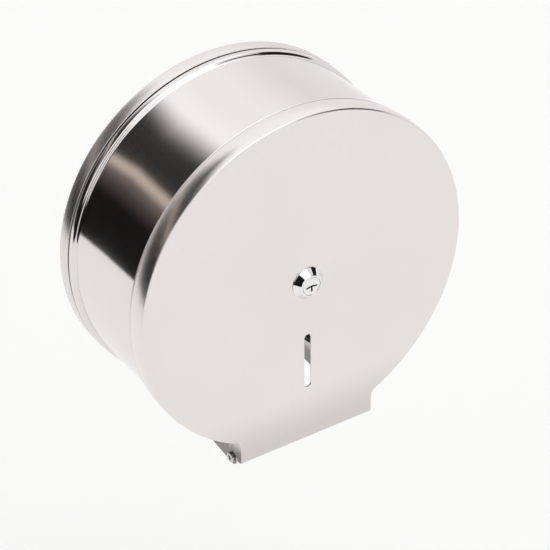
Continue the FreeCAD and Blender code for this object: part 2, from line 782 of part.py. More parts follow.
def front_cover():
    """The shallow cover: a flat face, a tapered rolled rim all round and a bib over the paper outlet."""
    body = new_body("front_cover")
    outer = new_sketch(body, "XZ_Plane", "Dims.lip_back")
    outline(outer, "Dims.ring_radius", "Dims.bib_half", "Dims.bib_drop", "Dims.neck_fillet")
    pad = feature(body, "Pad", outer, Length="Dims.face_depth - Dims.lip_back", TaperAngle="-Dims.rim_taper")
    rounded = dress(body, "Fillet", pad, lies_at_depth(SIZE["face_depth"]), Radius="Dims.rim_round")
    inner = new_sketch(body, "XZ_Plane", "Dims.lip_back")
    outline(
        inner,
        "Dims.ring_radius - Dims.gauge",
        "Dims.bib_half - Dims.gauge",
        "Dims.bib_drop - Dims.gauge",
        "Dims.neck_fillet + Dims.gauge",
    )
    hollow = feature(
        body,
        "Pocket",
        inner,
        Length="Dims.face_depth - Dims.gauge - Dims.lip_back",
        TaperAngle="-Dims.rim_taper",
    )
    hollow.Reversed = True
    removes(body, hollow)
    foot = new_sketch(body, "XZ_Plane", "Dims.lip_back - 1")
    inside = SIZE["bib_half"] - SIZE["gauge"] - BIB_SIDE
    across = f"(Dims.bib_half - Dims.gauge - {BIB_SIDE})"
    left, right = (-inside, f"-{across}"), (inside, across)
    low, high = plain(-150.0), plain(-120.0)
    polygon(foot, [(left, low), (right, low), (right, high), (left, high)])
    foot_depth = f"Dims.face_depth - {BIB_RETURN} - Dims.lip_back + 1"
    open_foot = feature(body, "Pocket", foot, Length=foot_depth)
    open_foot.Reversed = True
    removes(body, open_foot)
    sight = new_sketch(body, "XZ_Plane", "Dims.face_depth")
    sight_slot(sight)
    circle(sight, "Dims.barrel_radius + 0.1", "0", "0", (0, 0, SIZE["barrel_radius"] + 0.1))
    removes(body, cut_through(body, sight))
    removes(body, cut_through(body, hinge_notch(body), midplane=True))
    return body


def sight_slot(sketch):
    """The upright slot that shows how much paper is left."""
    z_axis = Vector(0, 0, 1)
    top, foot = -SIGHT_TOP - SIGHT_HALF, -SIGHT_FOOT + SIGHT_HALF
    upper = sketch.addGeometry(
        Part.ArcOfCircle(Part.Circle(Vector(0, top, 0), z_axis, SIGHT_HALF), 0, math.pi), False
    )
    lower = sketch.addGeometry(
        Part.ArcOfCircle(Part.Circle(Vector(0, foot, 0), z_axis, SIGHT_HALF), math.pi, 2 * math.pi), False
    )
    left = sketch.addGeometry(
        Part.LineSegment(Vector(-SIGHT_HALF, top, 0), Vector(-SIGHT_HALF, foot, 0)), False
    )
    right = sketch.addGeometry(
        Part.LineSegment(Vector(SIGHT_HALF, foot, 0), Vector(SIGHT_HALF, top, 0)), False
    )
    for first, second in ((upper, left), (left, lower), (lower, right), (right, upper)):
        sketch.addConstraint(Sketcher.Constraint("Tangent", first, 2, second, 1))
    sketch.addConstraint(Sketcher.Constraint("Radius", upper, SIGHT_HALF))
    sketch.addConstraint(Sketcher.Constraint("Equal", upper, lower))
    place_point(sketch, upper, 3, "0", str(top))
    index = sketch.addConstraint(Sketcher.Constraint("DistanceY", -1, 1, lower, 3, foot))
    tie(sketch, index, str(foot))


def hinge_notch(body):
    """The round-cornered notch in the rim's two foot ends, which clears the hinge ears."""
    sketch = new_sketch(body, "YZ_Plane")
    back, foot = -SIZE["lip_back"] + 2, -SIZE["bib_drop"] - 3
    corner_y, corner_z = -NOTCH_FRONT + NOTCH_ROUND, -NOTCH_DROP - NOTCH_ROUND

    def line(x1, y1, x2, y2):
        return sketch.addGeometry(Part.LineSegment(Vector(x1, y1, 0), Vector(x2, y2, 0)), False)

    top = line(back, -NOTCH_DROP, corner_y, -NOTCH_DROP)
    corner = sketch.addGeometry(
        Part.ArcOfCircle(
            Part.Circle(Vector(corner_y, corner_z, 0), Vector(0, 0, 1), NOTCH_ROUND), math.pi / 2, math.pi
        ),
        False,
    )
    front = line(-NOTCH_FRONT, corner_z, -NOTCH_FRONT, foot)
    base = line(-NOTCH_FRONT, foot, back, foot)
    rear = line(back, foot, back, -NOTCH_DROP)
    sketch.addConstraint(Sketcher.Constraint("Tangent", top, 2, corner, 1))
    sketch.addConstraint(Sketcher.Constraint("Tangent", corner, 2, front, 1))
    for first, second in ((front, base), (base, rear), (rear, top)):
        sketch.addConstraint(Sketcher.Constraint("Coincident", first, 2, second, 1))
    for upright in (front, rear):
        sketch.addConstraint(Sketcher.Constraint("Vertical", upright))
    for level in (top, base):
        sketch.addConstraint(Sketcher.Constraint("Horizontal", level))
    sketch.addConstraint(Sketcher.Constraint("Radius", corner, NOTCH_ROUND))
    place_point(sketch, front, 2, str(-NOTCH_FRONT), "-Dims.bib_drop - 3")
    place_point(sketch, rear, 2, "-Dims.lip_back + 2", str(-NOTCH_DROP))
    return sketch


LEAF_OUTER = 50.7
LEAF_TAB_INNER = 36.0
LEAF_TOP = -112.0
LEAF_FOOT = -127.5
LEAF_EAR_RADIUS = 5.0
LEAF_GAP = 0.02  # between the tab and the bib


def hinge_leaf(label, sign):
    """The cover's bent hinge leaf: a tab spot-welded behind the bib and an ear that turns on the pin."""
    wide, tall = str(LEAF_OUTER - LEAF_TAB_INNER), str(LEAF_TOP - LEAF_FOOT)
    tab_left = str(LEAF_TAB_INNER if sign > 0 else -LEAF_OUTER)
    tab_start = f"Dims.face_depth - Dims.gauge - Dims.leaf_gauge - {LEAF_GAP}"
    tab = block(wide, "Dims.leaf_gauge", tall, tab_left, tab_start, str(LEAF_FOOT))
    ear_left = f"{LEAF_OUTER} - Dims.leaf_gauge" if sign > 0 else f"-{LEAF_OUTER}"
    axis = ("Dims.hinge_depth", "Dims.hinge_drop")
    ear = cross_pin(str(LEAF_EAR_RADIUS), ear_left, "Dims.leaf_gauge", *axis)
    hole_start = "40" if sign > 0 else "-60"
    hole = cross_pin("Dims.pin_radius + Dims.pin_clearance", hole_start, "20", *axis)
    return node(cut(fuse(tab, ear, leaf_arm(sign)), hole), label)


def leaf_arm(sign):
    """The leaf's arm, from the tab's plate to the ear: a flat plate with straight edges."""
    gauge = sheet.get("leaf_gauge")
    front = -(sheet.get("face_depth") - sheet.get("gauge")) + LEAF_GAP
    depth, drop = sheet.get("hinge_depth"), sheet.get("hinge_drop")
    x = LEAF_OUTER - gauge if sign > 0 else -LEAF_OUTER
    corners = [
        (front, LEAF_TOP),
        (front + 5, LEAF_TOP),
        (-depth + 3.5, -drop + 3.5),
        (-depth + 1.5, -drop - 4.6),
        (-depth - 4, -drop - 2.8),
        (front + 2, LEAF_FOOT),
        (front, LEAF_FOOT),
    ]
    edge = Part.makePolygon([Vector(x, y, z) for y, z in corners + corners[:1]])
    item = doc.addObject("Part::Feature", "LeafArm")
    item.Shape = Part.Face(edge).extrude(Vector(gauge, 0, 0))
    return item


PIN_HEAD_RADIUS = 3.1
PIN_HEAD_LENGTH = 2.4
PIN_HOLLOW_RADIUS = 1.2
PIN_END = 47.6


def hinge_pin(label, sign):
    """A hollow-headed hinge pin, fixed in its cheek, with a turning fit in the cover's leaf."""
    axis = ("Dims.hinge_depth", "Dims.hinge_drop")
    if sign > 0:
        head_start, shank_start, mouth = "Dims.cheek_half", str(PIN_END), "53"
    else:
        head_start, shank_start, mouth = f"-Dims.cheek_half - {PIN_HEAD_LENGTH}", "-Dims.cheek_half", "-60"
    head = cross_pin(str(PIN_HEAD_RADIUS), head_start, str(PIN_HEAD_LENGTH), *axis)
    shank = cross_pin("Dims.pin_radius", shank_start, f"Dims.cheek_half - {PIN_END}", *axis)
    hollow = cross_pin(str(PIN_HOLLOW_RADIUS), mouth, "7", *axis)
    return node(cut(fuse(head, shank), hollow), label)


SPACER_START = 50.8
SPACER_LENGTH = 0.5
SPACER_RADIUS = 3.4
CLIP_START = 48.2
CLIP_LENGTH = 0.7
CLIP_RADIUS = 3.0


def pin_rings(label, start, length, radius):
    """A ring on each hinge pin, at the same distance either side of the middle."""
    axis = ("Dims.hinge_depth", "Dims.hinge_drop")
    rings = []
    for left in (-start - length, start):
        ring = cross_pin(str(radius), str(left), str(length), *axis)
        bore = cross_pin("Dims.pin_radius + 0.02", str(left - 1), str(length + 2), *axis)
        rings.append(cut(ring, bore))
    return node(group(*rings), label)


# ---------------------------------------------------------------- lock

CAM_BACK = 92.2
CAM_GAUGE = 2.0
CAM_HALF = 5.5
TAIL_SIDE = 6.0
PLUG_SET_BACK = 0.2  # how far the plug's face sits behind the bezel's
PLUG_PAST_BARREL = 0.4
KEY_SLOTS = (192, 272, 352)  # the three arms of the key slot, in degrees
KEY_SLOT_LENGTH = 4.3
KEY_SLOT_WIDTH = 1.3
NUT_THICKNESS = 3.2


def lock_housing():
    """The lock's chromed bezel and threaded barrel, bored for the plug."""
    bezel_length = "Dims.lock_front - Dims.face_depth"
    bezel = cone("Dims.bezel_radius", "Dims.bezel_front_radius", "Dims.face_depth", bezel_length)
    barrel = cylinder("Dims.barrel_radius", "Dims.barrel_back", "Dims.face_depth - Dims.barrel_back")
    bore = cylinder("Dims.plug_radius + Dims.pin_clearance", "Dims.barrel_back - 5", "40")
    return node(cut(fuse(bezel, barrel), bore), "lock_housing")


def lock_washer():
    """The washer behind the cover's face."""
    ring = cylinder("Dims.barrel_radius + 4", "Dims.face_depth - Dims.gauge - 1.02", "1")
    bore = cylinder("Dims.barrel_radius + 0.1", "Dims.barrel_back - 5", "40")
    return node(cut(ring, bore), "lock_washer")


def lock_nut():
    """The hexagonal nut that clamps the lock in the cover."""
    hexagon = doc.addObject("Part::Prism", "Hexagon")
    hexagon.Polygon = 6
    hexagon.Placement = Placement(Vector(), TOWARDS_ROOM)
    bind(hexagon, Circumradius="Dims.barrel_radius + 5", Height=str(NUT_THICKNESS))
    bind(hexagon, Placement__Base__y=f"-(Dims.face_depth - Dims.gauge - {NUT_THICKNESS} - 1.04)")
    bore = cylinder("Dims.barrel_radius + 0.02", "Dims.barrel_back - 5", "40")
    return node(cut(hexagon, bore), "lock_nut")


def lock_plug():
    """The turning plug with its key slot, and a square tail for the cam."""
    back = f"(Dims.barrel_back - {PLUG_PAST_BARREL})"
    core = cylinder("Dims.plug_radius", back, f"Dims.lock_front - {PLUG_SET_BACK} - {back}")
    side, edge = str(TAIL_SIDE), str(-TAIL_SIDE / 2)
    tail = block(side, f"{back} - {CAM_BACK}", side, edge, str(CAM_BACK), edge)
    key_slots = []
    for turn in KEY_SLOTS:
        arm = doc.addObject("Part::Box", "KeySlot")
        angle = math.radians(turn)
        arm.Placement = Placement(Vector(), Rotation(Vector(0, 1, 0), -turn))
        bind(arm, Length=str(KEY_SLOT_LENGTH), Width="4", Height=str(KEY_SLOT_WIDTH))
        bind(arm, Placement__Base__y="-Dims.lock_front - 0.5")
        arm.Placement.Base.x = KEY_SLOT_WIDTH / 2 * math.sin(angle)
        arm.Placement.Base.z = -KEY_SLOT_WIDTH / 2 * math.cos(angle)
        key_slots.append(arm)
    tapped = cylinder("1.5", str(CAM_BACK - 2), "9")
    return node(cut(fuse(core, tail), tapped, *key_slots), "lock_plug")


def lock_cam():
    """The flat cam on the plug's tail. It stands upright, in the keeper's slot, when unlocked."""
    boss = cylinder("7", str(CAM_BACK), str(CAM_GAUGE))
    arm = block(str(2 * CAM_HALF), str(CAM_GAUGE), "Dims.cam_reach", str(-CAM_HALF), str(CAM_BACK), "0")
    hole_side = TAIL_SIDE + 0.1
    side, edge = str(hole_side), str(-hole_side / 2)
    square = block(side, "10", side, edge, str(CAM_BACK - 4), edge)
    return node(cut(fuse(boss, arm), square), "lock_cam")


def cam_screw():
    """The screw that holds the cam on the plug."""
    head_height = 1.8
    shank = cylinder("1.45", str(CAM_BACK), "6")
    head = cylinder("3.9", str(CAM_BACK - head_height), str(head_height))
    recess = block("6", "2", "1", "-3", str(CAM_BACK - 3), "-0.5")
    return node(cut(fuse(head, shank), recess), "cam_screw")


# ---------------------------------------------------------------- build, check and export

base_pan()
drum_shell()
rivet_ring("shell_rivets", SHELL_RIVETS, f"2 * Dims.gauge - {RIVET_SET_IN}", 3.6)
spindle_base()
rivet_ring("spindle_rivets", BASE_RIVETS, f"Dims.gauge + {BASE_PLATE} - {RIVET_SET_IN}", 3.8)
spindle_post()
thrust_washer()
roll_hub()
hub_retainer()
keeper()
keeper_screw()
tear_bar()
tear_bar_rivets()
front_cover()
for side, sign in (("left", -1), ("right", 1)):
    hinge_leaf(f"hinge_leaf_{side}", sign)
    hinge_pin(f"hinge_pin_{side}", sign)
pin_rings("hinge_spacers", SPACER_START, SPACER_LENGTH, SPACER_RADIUS)
pin_rings("hinge_clips", CLIP_START, CLIP_LENGTH, CLIP_RADIUS)
lock_housing()
lock_washer()
lock_nut()
lock_plug()
lock_cam()
cam_screw()
doc.recompute()

for item in doc.Objects:
    assert "Invalid" not in item.State and "Error" not in item.State, f"{item.Label}: {item.State}"

os.makedirs("parts", exist_ok=True)
for item in NODES:
    shape = item.Shape
    assert not shape.isNull() and shape.isValid(), f"{item.Label} isn't a valid shape"
    assert shape.Solids, f"{item.Label} holds no solid"
    shape.exportStep(f"parts/{item.Label}.step")
    box = shape.optimalBoundingBox()
    print(
        f"{item.Label:18} solids {len(shape.Solids)} volume {shape.Volume:9.0f} "
        f"x {box.XMin:7.1f} {box.XMax:6.1f} y {box.YMin:7.1f} {box.YMax:6.1f} z {box.ZMin:7.1f} {box.ZMax:6.1f}"
    )
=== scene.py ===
"""Looks for the round stainless wall dispenser: dense sheet-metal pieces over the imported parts.

Lengths in the modelling helpers are millimetres in the part's own frame, where depth is the distance
from the wall and drop is the distance below the drum's axis. The meshes are written in metres.
"""

import json
import math

import bmesh
import bpy
from mathutils import Matrix, Vector


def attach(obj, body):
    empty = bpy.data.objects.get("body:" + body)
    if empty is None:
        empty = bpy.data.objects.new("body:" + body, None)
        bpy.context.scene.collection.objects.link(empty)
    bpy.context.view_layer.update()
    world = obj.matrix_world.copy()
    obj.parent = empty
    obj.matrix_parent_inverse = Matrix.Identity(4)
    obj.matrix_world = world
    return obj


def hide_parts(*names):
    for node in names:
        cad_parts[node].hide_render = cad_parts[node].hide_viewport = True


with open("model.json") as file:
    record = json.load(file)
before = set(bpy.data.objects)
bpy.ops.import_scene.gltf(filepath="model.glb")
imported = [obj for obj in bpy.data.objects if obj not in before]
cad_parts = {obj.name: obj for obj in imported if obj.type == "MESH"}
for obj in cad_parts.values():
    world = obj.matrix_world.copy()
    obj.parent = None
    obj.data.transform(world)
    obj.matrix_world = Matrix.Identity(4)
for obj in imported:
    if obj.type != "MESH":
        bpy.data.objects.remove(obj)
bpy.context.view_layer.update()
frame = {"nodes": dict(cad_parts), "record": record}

MM = 0.001
SHARP_ANGLE = math.radians(32)

GAUGE = 0.8

# the front cover
RING_RADIUS = 125.5
BIB_HALF = 54.6
BIB_DROP = 130.3
NECK_FILLET = 6.0
LIP_BACK = 94.5
FACE_DEPTH = 111.0
CREST_DEPTH = 104.0
REAR_RADIUS = 54.0
REAR_TILT = 8.0
HEM_RADIUS = 0.5
BIB_RETURN = 1.1
BIB_RETURN_DEPTH = 3.5
FOOT_TOP = 126.0
NOTCH_TOP = 124.8
NOTCH_FRONT = 106.3
NOTCH_ROUND = 4.0
SIGHT_HALF = 2.65
SIGHT_TOP = -41.8
SIGHT_FOOT = -85.6

# the drum shell
DRUM_RADIUS = 122.8
DRUM_FRONT = 106.0
CHEEK_HALF = 52.2
CHEEK_FRONT_TOP = 123.8
CHEEK_BACK_TOP = 129.2
CHEEK_BACK_FOOT = 131.8
OUTLET_DROP = 139.5
FLANGE_WIDTH = 12.0
BEAD_BACK = 12.8
BEAD_RISE = 2.4
BEAD_CREST = 2.6
BEAD_ROUND = 1.1
COVE_START = 20.6
COVE_RADIUS = 2.2
COVE_SWING = math.radians(60)
TEAR_RIVET_DEPTH = 83.5
TEAR_RIVET_DROPS = (130.5, 134.7)
TEAR_RIVET_HOLE = 1.52

# the wall pan
PAN_DEPTH = 11.8
PAN_ROUND = 2.0
WALL_SLOT_PLACE = 60.0
WALL_SLOT_HALF = 2.75
WALL_SLOT_REACH = 6.0
SHELL_RIVET_RING = 116.5
BASE_RIVET_RING = 24.0
RIVET_HOLE = 2.1

# the lock
LOCK_FRONT = 116.0
BARREL_RADIUS = 9.0
BARREL_BACK = 95.0
THREAD_STEP = 0.5
THREAD_HEIGHT = 0.35
THREAD_TURNS = 14
PLUG_RADIUS = 6.6
KEY_SLOTS = (192, 272, 352)
KEY_SLOT_LENGTH = 4.3
KEY_SLOT_HALF = 0.65
KEY_SLOT_FLOOR = 97.0

# the hinge
HINGE_DEPTH = 95.5
HINGE_DROP = 133.9
PIN_RADIUS = 1.7


# cutters reach from one of these to the other, past the sheet that they go through
ACROSS = (-80, 80)
THROUGH_FACE = (100, 120)
THROUGH_PAN = (-3, 5)
PAST_BACK = -2.0
PAST_FRONT = 112.0
PAST_FOOT = 160.0


# ---------------------------------------------------------------- mesh helpers


def outline(radius, half, drop, fillet, arc_steps=300):
    """(x, z) points up the left side, over the drum, down the right side and back along the foot."""
    centre_x = half + fillet
    centre_z = -math.sqrt((radius + fillet) ** 2 - centre_x**2)
    join = math.atan2(-centre_z, centre_x)
    side_steps, fillet_steps, foot_steps = 8, 14, 24
    left = []
    for i in range(side_steps):
        left.append((-half, -drop + (centre_z + drop) * i / side_steps))
    for i in range(fillet_steps):
        angle = join * i / fillet_steps
        left.append((-centre_x + fillet * math.cos(angle), centre_z + fillet * math.sin(angle)))
    first = math.pi + join
    for i in range(arc_steps // 2):
        angle = first - (first - math.pi / 2) * i / (arc_steps // 2)
        left.append((radius * math.cos(angle), radius * math.sin(angle)))
    right = [(-x, z) for x, z in reversed(left)]
    foot = [(half - 2 * half * i / foot_steps, -drop) for i in range(1, foot_steps)]
    return left + [(0.0, radius)] + right + foot


def offset_outline(base, inward):
    """The outline moved inwards by a distance, with as many points as before."""
    radius, half, drop, fillet = base
    return outline(radius - inward, half - inward, drop - inward, fillet + inward)


def arc_profile(centre, radius, first, last, steps):
    """(offset, depth) points on an arc, with angles in degrees from outwards towards the room."""
    offset, depth = centre
    points = []
    for i in range(steps + 1):
        angle = math.radians(first + (last - first) * i / steps)
        points.append((offset - radius * math.cos(angle), depth + radius * math.sin(angle)))
    return points


def circle_points(radius, across=0.0, up=0.0, steps=48):
    """Points round a circle with its centre at (across, up)."""
    return [
        (across + radius * math.cos(math.tau * i / steps), up + radius * math.sin(math.tau * i / steps))
        for i in range(steps)
    ]


def slot_points(half, x, top, foot, steps=16):
    """An upright slot with round ends, as (x, z) points."""
    points = []
    for i in range(steps + 1):
        angle = math.pi * i / steps
        points.append((x + half * math.cos(angle), top - half + half * math.sin(angle)))
    for i in range(steps + 1):
        angle = math.pi * (1 + i / steps)
        points.append((x + half * math.cos(angle), foot + half + half * math.sin(angle)))
    return points


def add_loop(bm, points, depth):
    """Adds (x, z) points to a mesh, all at one depth."""
    return [bm.verts.new((x * MM, -depth * MM, z * MM)) for x, z in points]


def bridge(bm, first, second):
    """Joins two closed loops of as many points with a band of faces."""
    count = len(first)
    for i in range(count):
        j = (i + 1) % count
        bm.faces.new((first[i], first[j], second[j], second[i]))


def smooth(item):
    """Shades an object smooth, apart from its sharp edges."""
    for polygon in item.data.polygons:
        polygon.use_smooth = True
    item.data.set_sharp_from_angle(angle=SHARP_ANGLE)


def finish_mesh(bm, name):
    """Turns a mesh being built into an object in the scene."""
    bmesh.ops.remove_doubles(bm, verts=bm.verts, dist=1e-7)
    bmesh.ops.recalc_face_normals(bm, faces=bm.faces)
    mesh = bpy.data.meshes.new(name)
    bm.to_mesh(mesh)
    bm.free()
    item = bpy.data.objects.new(name, mesh)
    bpy.context.scene.collection.objects.link(item)
    smooth(item)
    return item


def skin(name, loops_of, ends_joined=False):
    """A closed solid through a row of loops, with its ends capped or, for a wall, joined to each other."""
    bm = bmesh.new()
    loops = loops_of(bm)
    for first, second in zip(loops, loops[1:]):
        bridge(bm, first, second)
    if ends_joined:
        bridge(bm, loops[-1], loops[0])
    else:
        bm.faces.new(loops[0])
        bm.faces.new(loops[-1])
    return finish_mesh(bm, name)


def sheet_solid(name, base, profile, ends_joined=False):
    """A solid whose section is the (offset, depth) profile swept round an outline."""
    return skin(
        name,
        lambda bm: [add_loop(bm, offset_outline(base, offset), depth) for offset, depth in profile],
        ends_joined,
    )


def lathe(name, profile, hollow=False, steps=128):
    """A turned solid about the drum's axis from (radius, depth) points."""
    return skin(
        name,
        lambda bm: [add_loop(bm, circle_points(radius, steps=steps), depth) for radius, depth in profile],
        ends_joined=hollow,
    )


def prism_x(name, corners, x_from, x_to):
    """A prism along X whose section is given as (depth, drop) corners."""

    def end(bm, x):
        return [bm.verts.new((x * MM, -depth * MM, -drop * MM)) for depth, drop in corners]

    return skin(name, lambda bm: [end(bm, x) for x in (x_from, x_to)])


def prism_y(name, corners, depth_from, depth_to):
    """A prism along the drum's axis whose section is given as (x, z) corners."""
    return skin(name, lambda bm: [add_loop(bm, corners, depth) for depth in (depth_from, depth_to)])


def carve(item, cutters):
    """Takes the cutters out of a solid and removes them."""
    for cutter in cutters:
        modifier = item.modifiers.new("Carve", "BOOLEAN")
        modifier.operation = "DIFFERENCE"
        modifier.solver = "EXACT"
        modifier.object = cutter
    bpy.context.view_layer.update()
    carved = bpy.data.meshes.new_from_object(item.evaluated_get(bpy.context.evaluated_depsgraph_get()))
    item.modifiers.clear()
    item.data = carved
    for cutter in cutters:
        bpy.data.objects.remove(cutter)
    smooth(item)
    return item


# ---------------------------------------------------------------- sheet-metal pieces


def bend(points, radius, first, last, steps):
    """Continues a profile from its last point with an arc between two tilts, in degrees."""
    offset, depth = points[-1]
    tilt = math.radians(first)
    centre = (offset + radius * math.cos(tilt), depth - radius * math.sin(tilt))
    points += arc_profile(centre, radius, first, last, steps)[1:]


def rim_profile():
    """The cover rim's outer line, from the hem at the back over a shallow crest to the face."""
    outer = arc_profile((1.0, LIP_BACK + HEM_RADIUS), HEM_RADIUS, -90, 60, 10)
    outer += [(1.45, 95.6), (1.5, 96.1), (1.2, 96.4)]
    outer += arc_profile((REAR_RADIUS, CREST_DEPTH), REAR_RADIUS, -REAR_TILT, 0, 14)
    bend(outer, 27.0, 0, 13, 10)
    bend(outer, 0.6, 13, 50, 5)
    bend(outer, 6.0, 50, 57, 3)
    bend(outer, (FACE_DEPTH - outer[-1][1]) / (1 - math.sin(math.radians(57))), 57, 90, 8)
    edge = outer.pop()[0]
    return outer + [(edge, FACE_DEPTH), (edge + 0.5, FACE_DEPTH)]


def front_cover():
    """The cover: a flat face, a rim with a hemmed back edge, and a bib with a short return."""
    base = (RING_RADIUS, BIB_HALF, BIB_DROP, NECK_FILLET)
    outer = rim_profile()
    inner = [(1.7, 95.0), (1.95, 95.6), (1.95, 96.3), (1.4, 97.0), (1.1, 99.0), (0.85, 101.2)]
    inner += [(GAUGE, CREST_DEPTH), (0.95, 105.4), (1.35, 108.8), (1.8, 109.9)]
    inner.append((outer[-1][0], FACE_DEPTH - GAUGE))
    cover = sheet_solid("cover_sheet", base, list(reversed(inner)) + outer)
    inside = BIB_HALF - GAUGE - BIB_RETURN
    foot = [(-inside, -PAST_FOOT), (inside, -PAST_FOOT), (inside, -FOOT_TOP), (-inside, -FOOT_TOP)]
    notch = [(NOTCH_FRONT, PAST_FOOT), (NOTCH_FRONT, NOTCH_TOP + NOTCH_ROUND)]
    for i in range(1, 9):
        angle = math.pi / 2 * i / 8
        depth = NOTCH_FRONT - NOTCH_ROUND + NOTCH_ROUND * math.cos(angle)
        notch.append((depth, NOTCH_TOP + NOTCH_ROUND - NOTCH_ROUND * math.sin(angle)))
    notch += [(LIP_BACK - 5, NOTCH_TOP), (LIP_BACK - 5, PAST_FOOT)]
    cutters = [
        prism_y("foot_cutter", foot, LIP_BACK - 5, FACE_DEPTH - BIB_RETURN_DEPTH),
        prism_x("notch_cutter", notch, *ACROSS),
        prism_y("sight_cutter", slot_points(SIGHT_HALF, 0.0, SIGHT_TOP, SIGHT_FOOT), *THROUGH_FACE),
        prism_y("lock_cutter", circle_points(BARREL_RADIUS + 0.1), *THROUGH_FACE),
    ]
    return carve(cover, cutters)


def bead_profile():
    """The drum's outer line over the swaged bead: a cove, a crest and a tight turn at the back."""
    points = []
    for i in range(9):
        turn = COVE_SWING * i / 8
        offset = -COVE_RADIUS + COVE_RADIUS * math.cos(turn)
        points.append((offset, COVE_START - COVE_RADIUS * math.sin(turn)))
    crest_depth = COVE_START - (COVE_RADIUS + BEAD_CREST) * math.sin(COVE_SWING)
    for i in range(1, 11):
        turn = COVE_SWING * (1 - i / 10)
        offset = BEAD_CREST - BEAD_RISE - BEAD_CREST * math.cos(turn)
        points.append((offset, crest_depth + BEAD_CREST * math.sin(turn)))
    for i in range(6, -1, -1):
        turn = math.pi / 2 * i / 6
        offset = BEAD_ROUND - BEAD_RISE - BEAD_ROUND * math.sin(turn)
        points.append((offset, BEAD_BACK + BEAD_ROUND - BEAD_ROUND * math.cos(turn)))
    return points


def drum_shell():
    """The drum wall with its swaged bead, the inward flange on the pan and the two cheeks."""
    base = (DRUM_RADIUS, CHEEK_HALF, OUTLET_DROP + 6, NECK_FILLET + RING_RADIUS - DRUM_RADIUS)
    outer = [(0.0, DRUM_FRONT), (0.0, 80.0), (0.0, 50.0)] + bead_profile()
    outer += [(0.0, BEAD_BACK), (0.0, GAUGE)]
    inner = [(FLANGE_WIDTH, GAUGE), (FLANGE_WIDTH, 2 * GAUGE), (GAUGE, 2 * GAUGE), (GAUGE, 50.0)]
    inner.append((GAUGE, DRUM_FRONT))
    shell = sheet_solid("drum_sheet", base, outer + inner, ends_joined=True)
    ear = OUTLET_DROP - HINGE_DROP
    corners = [(HINGE_DEPTH, OUTLET_DROP), (BEAD_BACK, CHEEK_BACK_FOOT), (BEAD_BACK, CHEEK_BACK_TOP)]
    corners += [(PAST_BACK, CHEEK_BACK_TOP), (PAST_BACK, PAST_FOOT), (PAST_FRONT, PAST_FOOT)]
    corners += [(PAST_FRONT, CHEEK_FRONT_TOP), (HINGE_DEPTH, CHEEK_FRONT_TOP)]
    for i in range(16):
        angle = math.pi * i / 16
        corners.append((HINGE_DEPTH + ear * math.sin(angle), HINGE_DROP - ear * math.cos(angle)))
    cutters = [prism_x("cheek_cutter", corners, *ACROSS)]
    for drop in TEAR_RIVET_DROPS:
        hole = circle_points(TEAR_RIVET_HOLE, TEAR_RIVET_DEPTH, drop, 32)
        cutters.append(prism_x("rivet_cutter", hole, *ACROSS))
    return carve(shell, cutters)


def ring_cutters(ring, first, step, count):
    """Cutters for a ring of rivet holes through the pan, with angles in degrees."""
    cutters = []
    for i in range(count):
        angle = math.radians(first + step * i)
        hole = circle_points(RIVET_HOLE, ring * math.cos(angle), ring * math.sin(angle), 24)
        cutters.append(prism_y("rivet_cutter", hole, *THROUGH_PAN))
    return cutters


def base_pan():
    """The wall pan with its rounded back edge and turned-up rim."""
    base = (RING_RADIUS, BIB_HALF, BIB_DROP, NECK_FILLET)
    outer = [(PAN_ROUND + 0.6, 0.0)] + arc_profile((PAN_ROUND, PAN_ROUND), PAN_ROUND, -90, 0, 12)
    outer += [(0.0, PAN_DEPTH - 0.3), (0.1, PAN_DEPTH - 0.1), (0.3, PAN_DEPTH), (GAUGE, PAN_DEPTH)]
    inner = [(GAUGE, 3.0), (GAUGE + 0.4, GAUGE + 0.4), (GAUGE + 2.0, GAUGE)]
    pan = sheet_solid("pan_sheet", base, outer + inner)
    upright = slot_points(WALL_SLOT_HALF, 0.0, WALL_SLOT_REACH, -WALL_SLOT_REACH)
    cutters = []
    for x in (-WALL_SLOT_PLACE, WALL_SLOT_PLACE):
        for z in (-WALL_SLOT_PLACE, WALL_SLOT_PLACE):
            slot = [(x - up, z + across) for across, up in upright]
            cutters.append(prism_y("slot_cutter", slot, *THROUGH_PAN))
    cutters += ring_cutters(SHELL_RIVET_RING, -60, 37.5, 9)
    cutters += ring_cutters(BASE_RIVET_RING, 45, 90, 4)
    return carve(pan, cutters)


# ---------------------------------------------------------------- turned pieces


def lock_housing():
    """The lock's bezel, a cone with softened edges round a set-back ring, on a threaded barrel."""
    bore = PLUG_RADIUS + 0.05
    profile = [(bore, BARREL_BACK), (BARREL_RADIUS - 0.5, BARREL_BACK)]
    for i in range(2 * THREAD_TURNS):
        profile.append((BARREL_RADIUS - THREAD_HEIGHT * (i % 2), BARREL_BACK + 0.4 + THREAD_STEP * i))
    profile += [(BARREL_RADIUS, 109.6), (BARREL_RADIUS, FACE_DEPTH), (11.3, FACE_DEPTH)]
    profile += [(11.6, 111.1), (11.78, 111.4), (11.7, 111.8), (8.3, 115.4), (8.0, 115.75), (7.6, 115.95)]
    profile += [(7.3, LOCK_FRONT), (7.05, 115.9), (6.95, 115.6), (6.9, 115.2), (bore, 115.2)]
    return lathe("lock_bezel", profile, hollow=True)


